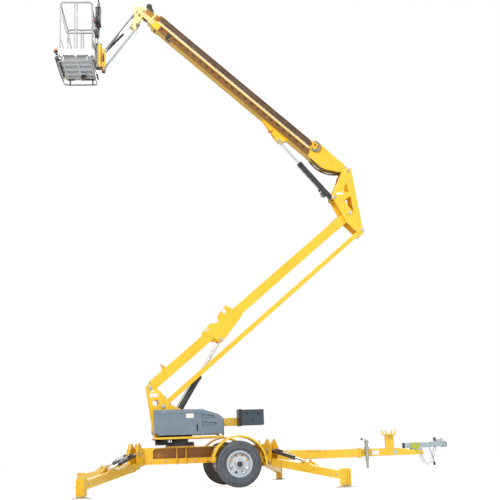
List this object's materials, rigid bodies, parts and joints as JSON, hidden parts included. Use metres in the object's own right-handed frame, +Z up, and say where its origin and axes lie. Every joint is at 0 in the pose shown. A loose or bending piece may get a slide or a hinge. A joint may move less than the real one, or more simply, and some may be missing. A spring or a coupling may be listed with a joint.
{
  "type": "towable boom lift",
  "caption": "Towable articulated boom lift on outriggers: frame with wheels and coupler, slewing turret, lower boom, telescopic upper boom, jib and turning work basket.",
  "frame": {"origin": "on the ground below the middle of the machine, as it stands on its outriggers with the booms raised", "axes": "+X towards the tow coupler, +Y towards the side away from the picture's viewer, +Z up"},
  "size_m": [7.2209, 5.33, 9.19],
  "materials": {
    "aluminium": "satin aluminium",
    "black_paint": "satin black paint",
    "boom_brown": "satin brown-orange paint",
    "box_slate": "dark slate paint",
    "chrome": "ground and plated",
    "dark_plastic": "black plastic",
    "galvanised": "galvanised steel",
    "grey_paint": "satin light grey paint",
    "hood_grey": "blue-grey moulding",
    "tyre": "black rubber",
    "wheel_silver": "silver paint",
    "yellow_paint": "gloss golden-yellow paint"
  },
  "bodies": {
    "chassis": {"chassis_frame": "yellow_paint", "tongue": "yellow_paint", "boom_rest": "yellow_paint", "jack_tube": "black_paint", "coupler": "box_slate", "axle": "black_paint", "fender_near": "yellow_paint", "fender_far": "yellow_paint", "slew_ring": "black_paint"},
    "wheel_near": {"rim_near": "wheel_silver", "tyre_near": "tyre"},
    "wheel_far": {"rim_far": "wheel_silver", "tyre_far": "tyre"},
    "jack_leg": {"jack_leg": "galvanised"},
    "turret": {"turret_frame": "yellow_paint", "tool_box": "box_slate", "slew_drive": "black_paint", "battery_pack": "dark_plastic", "hydraulic_unit": "black_paint"},
    "hood_near": {"hood_near": "hood_grey"},
    "hood_far": {"hood_far": "hood_grey"},
    "lower_boom": {"lower_boom": "yellow_paint"},
    "parallel_link": {"parallel_link_near": "yellow_paint", "parallel_link_far": "yellow_paint"},
    "elbow": {"elbow": "yellow_paint"},
    "lower_barrel": {"lower_barrel": "black_paint"},
    "lower_rod": {"lower_rod": "chrome"},
    "upper_boom": {"upper_boom": "boom_brown"},
    "boom_mid": {"boom_mid": "yellow_paint"},
    "boom_fly": {"boom_fly": "yellow_paint"},
    "upper_barrel": {"upper_barrel": "black_paint"},
    "upper_rod": {"upper_rod": "chrome"},
    "head": {"head": "yellow_paint"},
    "jib_tube": {"jib_tube": "grey_paint"},
    "jib_link": {"jib_link": "grey_paint"},
    "carrier": {"carrier": "yellow_paint"},
    "jib_barrel": {"jib_barrel": "black_paint"},
    "jib_rod": {"jib_rod": "chrome"},
    "basket": {"basket_mount": "black_paint", "basket_floor": "aluminium", "basket_rails": "grey_paint", "control_box": "dark_plastic"},
    "outrigger_rear_near": {"outrigger_rear_near": "yellow_paint"},
    "barrel_rear_near": {"outrigger_barrel_rear_near": "black_paint"},
    "rod_rear_near": {"outrigger_rod_rear_near": "chrome"},
    "outrigger_rear_far": {"outrigger_rear_far": "yellow_paint"},
    "barrel_rear_far": {"outrigger_barrel_rear_far": "black_paint"},
    "rod_rear_far": {"outrigger_rod_rear_far": "chrome"},
    "outrigger_front_near": {"outrigger_front_near": "yellow_paint"},
    "barrel_front_near": {"outrigger_barrel_front_near": "black_paint"},
    "rod_front_near": {"outrigger_rod_front_near": "chrome"},
    "outrigger_front_far": {"outrigger_front_far": "yellow_paint"},
    "barrel_front_far": {"outrigger_barrel_front_far": "black_paint"},
    "rod_front_far": {"outrigger_rod_front_far": "chrome"}
  },
  "joints": [
    {"name": "wheel_near_spin", "type": "hinge", "parent": "chassis", "child": "wheel_near", "pos_m": [-0.511, -0.86, 0.394], "axis": [0, 1, 0], "continuous": true},
    {"name": "wheel_far_spin", "type": "hinge", "parent": "chassis", "child": "wheel_far", "pos_m": [-0.511, 0.86, 0.394], "axis": [0, 1, 0], "continuous": true},
    {"name": "jack_raise", "type": "slide", "parent": "chassis", "child": "jack_leg", "axis": [0, 0, -1], "range_m": [0, 0.2]},
    {"name": "slew", "type": "hinge", "parent": "chassis", "child": "turret", "pos_m": [-1.423, 0, 0.866], "axis": [0, 0, 1], "range_deg": [-350, 350]},
    {"name": "hood_near_lid", "type": "hinge", "parent": "turret", "child": "hood_near", "pos_m": [-1.423, -0.172, 1.363], "axis": [-1, 0, 0], "range_deg": [0, 70]},
    {"name": "hood_far_lid", "type": "hinge", "parent": "turret", "child": "hood_far", "pos_m": [-1.423, 0.172, 1.363], "axis": [1, 0, 0], "range_deg": [0, 70]},
    {"name": "lower_lift", "type": "hinge", "parent": "turret", "child": "lower_boom", "pos_m": [-1.957, 0, 1.769], "axis": [0, -1, 0], "range_deg": [-46, 24]},
    {"name": "link_swing", "type": "hinge", "parent": "turret", "child": "parallel_link", "pos_m": [-1.732, 0, 1.434], "axis": [0, -1, 0], "range_deg": [-47, 25]},
    {"name": "elbow_level", "type": "hinge", "parent": "lower_boom", "child": "elbow", "pos_m": [1.94446, 0, 5.04272], "axis": [0, -1, 0], "range_deg": [-25, 47]},
    {"name": "lower_barrel_swing", "type": "hinge", "parent": "turret", "child": "lower_barrel", "pos_m": [-1.693, 0, 0.932], "axis": [0, -1, 0], "range_deg": [-33.92, 17.7]},
    {"name": "lower_rod_slide", "type": "slide", "parent": "lower_barrel", "child": "lower_rod", "axis": [0.5261, 0, 0.8504], "range_m": [-0.69564, 0.36299]},
    {"name": "upper_lift", "type": "hinge", "parent": "elbow", "child": "upper_boom", "pos_m": [1.95946, 0, 5.89972], "axis": [0, 1, 0], "range_deg": [-35, 34.3]},
    {"name": "upper_barrel_swing", "type": "hinge", "parent": "elbow", "child": "upper_barrel", "pos_m": [1.63946, 0, 5.35072], "axis": [0, 1, 0], "range_deg": [-31, 30.38]},
    {"name": "upper_rod_slide", "type": "slide", "parent": "upper_barrel", "child": "upper_rod", "axis": [-0.6565, 0, 0.7543], "range_m": [-0.41104, 0.40282]},
    {"name": "telescope", "type": "slide", "parent": "upper_boom", "child": "boom_mid", "axis": [-0.7581, 0, 0.6521], "range_m": [0, 3.2]},
    {"name": "fly_extend", "type": "slide", "parent": "boom_mid", "child": "boom_fly", "axis": [-0.7581, 0, 0.6521], "range_m": [0, 3.21]},
    {"name": "head_level", "type": "hinge", "parent": "boom_fly", "child": "head", "pos_m": [-1.98825, 0, 9.10798], "axis": [0, 1, 0], "range_deg": [-35.3, 36]},
    {"name": "jib_lift", "type": "hinge", "parent": "head", "child": "jib_tube", "pos_m": [-2.13225, 0, 8.72498], "axis": [0, 1, 0], "range_deg": [-15.8, 108]},
    {"name": "jib_link_swing", "type": "hinge", "parent": "head", "child": "jib_link", "pos_m": [-2.13225, 0, 9.08498], "axis": [0, 1, 0], "range_deg": [-16.8, 109]},
    {"name": "carrier_level", "type": "hinge", "parent": "jib_tube", "child": "carrier", "pos_m": [-2.75406, 0, 7.86282], "axis": [0, 1, 0], "range_deg": [-109, 16.8]},
    {"name": "jib_barrel_swing", "type": "hinge", "parent": "carrier", "child": "jib_barrel", "pos_m": [-2.75406, 0.03, 8.22282], "axis": [0, 1, 0], "range_deg": [-17.43, 119.16]},
    {"name": "jib_rod_slide", "type": "slide", "parent": "jib_barrel", "child": "jib_rod", "axis": [0.6675, 0, 0.7446], "range_m": [-0.06456, 0.44071]},
    {"name": "basket_turn", "type": "hinge", "parent": "carrier", "child": "basket", "pos_m": [-2.83706, 0, 7.91982], "axis": [0, 0, 1], "range_deg": [-75, 87]},
    {"name": "fold_rear_near", "type": "hinge", "parent": "chassis", "child": "outrigger_rear_near", "pos_m": [-2.261, -0.43, 0.4], "axis": [-0.9169, 0.3991, 0], "range_deg": [0, 78]},
    {"name": "barrel_swing_rear_near", "type": "hinge", "parent": "chassis", "child": "barrel_rear_near", "pos_m": [-2.23705, -0.37499, 0.6], "axis": [-0.9169, 0.3991, 0], "range_deg": [0, 82.97]},
    {"name": "rod_slide_rear_near", "type": "slide", "parent": "barrel_rear_near", "child": "rod_rear_near", "axis": [-0.3935, -0.9041, -0.1665], "range_m": [-0.28404, 0.0001]},
    {"name": "fold_rear_far", "type": "hinge", "parent": "chassis", "child": "outrigger_rear_far", "pos_m": [-2.261, 0.43, 0.4], "axis": [0.9169, 0.3991, 0], "range_deg": [0, 78]},
    {"name": "barrel_swing_rear_far", "type": "hinge", "parent": "chassis", "child": "barrel_rear_far", "pos_m": [-2.23705, 0.37499, 0.6], "axis": [0.9169, 0.3991, 0], "range_deg": [0, 82.97]},
    {"name": "rod_slide_rear_far", "type": "slide", "parent": "barrel_rear_far", "child": "rod_rear_far", "axis": [-0.3935, 0.9041, -0.1665], "range_m": [-0.28404, 0.0001]},
    {"name": "fold_front_near", "type": "hinge", "parent": "chassis", "child": "outrigger_front_near", "pos_m": [0.179, -0.43, 0.4], "axis": [-0.9449, -0.3273, 0], "range_deg": [0, 78]},
    {"name": "barrel_swing_front_near", "type": "hinge", "parent": "chassis", "child": "barrel_front_near", "pos_m": [0.15936, -0.3733, 0.6], "axis": [-0.9449, -0.3273, 0], "range_deg": [0, 83.01]},
    {"name": "rod_slide_front_near", "type": "slide", "parent": "barrel_front_near", "child": "rod_front_near", "axis": [0.3225, -0.931, -0.1712], "range_m": [-0.28436, 0.0001]},
    {"name": "fold_front_far", "type": "hinge", "parent": "chassis", "child": "outrigger_front_far", "pos_m": [0.179, 0.43, 0.4], "axis": [0.9449, -0.3273, 0], "range_deg": [0, 78]},
    {"name": "barrel_swing_front_far", "type": "hinge", "parent": "chassis", "child": "barrel_front_far", "pos_m": [0.15936, 0.3733, 0.6], "axis": [0.9449, -0.3273, 0], "range_deg": [0, 83.01]},
    {"name": "rod_slide_front_far", "type": "slide", "parent": "barrel_front_far", "child": "rod_front_far", "axis": [0.3225, 0.931, -0.1712], "range_m": [-0.28436, 0.0001]}
  ],
  "couplings": [
    {"joint": "link_swing", "follows": "lower_lift", "ratio": 1},
    {"joint": "elbow_level", "follows": "lower_lift", "ratio": -1},
    {"joint": "lower_barrel_swing", "follows": "lower_lift", "ratio": 0.72297},
    {"joint": "lower_rod_slide", "follows": "lower_lift", "m_per_rad": 0.84935},
    {"joint": "upper_barrel_swing", "follows": "upper_lift", "ratio": 0.86846},
    {"joint": "upper_rod_slide", "follows": "upper_lift", "m_per_rad": 0.65953},
    {"joint": "fly_extend", "follows": "telescope", "ratio": 1},
    {"joint": "head_level", "follows": "upper_lift", "ratio": -1},
    {"joint": "jib_link_swing", "follows": "jib_lift", "ratio": 1},
    {"joint": "carrier_level", "follows": "jib_lift", "ratio": -1},
    {"joint": "jib_barrel_swing", "follows": "jib_lift", "ratio": 1.0817},
    {"joint": "jib_rod_slide", "follows": "jib_lift", "m_per_rad": 0.22917},
    {"joint": "barrel_swing_rear_near", "follows": "fold_rear_near", "ratio": 1.0429},
    {"joint": "rod_slide_rear_near", "follows": "fold_rear_near", "m_per_rad": -0.20448},
    {"joint": "barrel_swing_rear_far", "follows": "fold_rear_far", "ratio": 1.0429},
    {"joint": "rod_slide_rear_far", "follows": "fold_rear_far", "m_per_rad": -0.20448},
    {"joint": "barrel_swing_front_near", "follows": "fold_front_near", "ratio": 1.0433},
    {"joint": "rod_slide_front_near", "follows": "fold_front_near", "m_per_rad": -0.20471},
    {"joint": "barrel_swing_front_far", "follows": "fold_front_far", "ratio": 1.0433},
    {"joint": "rod_slide_front_far", "follows": "fold_front_far", "m_per_rad": -0.20471}
  ]
}
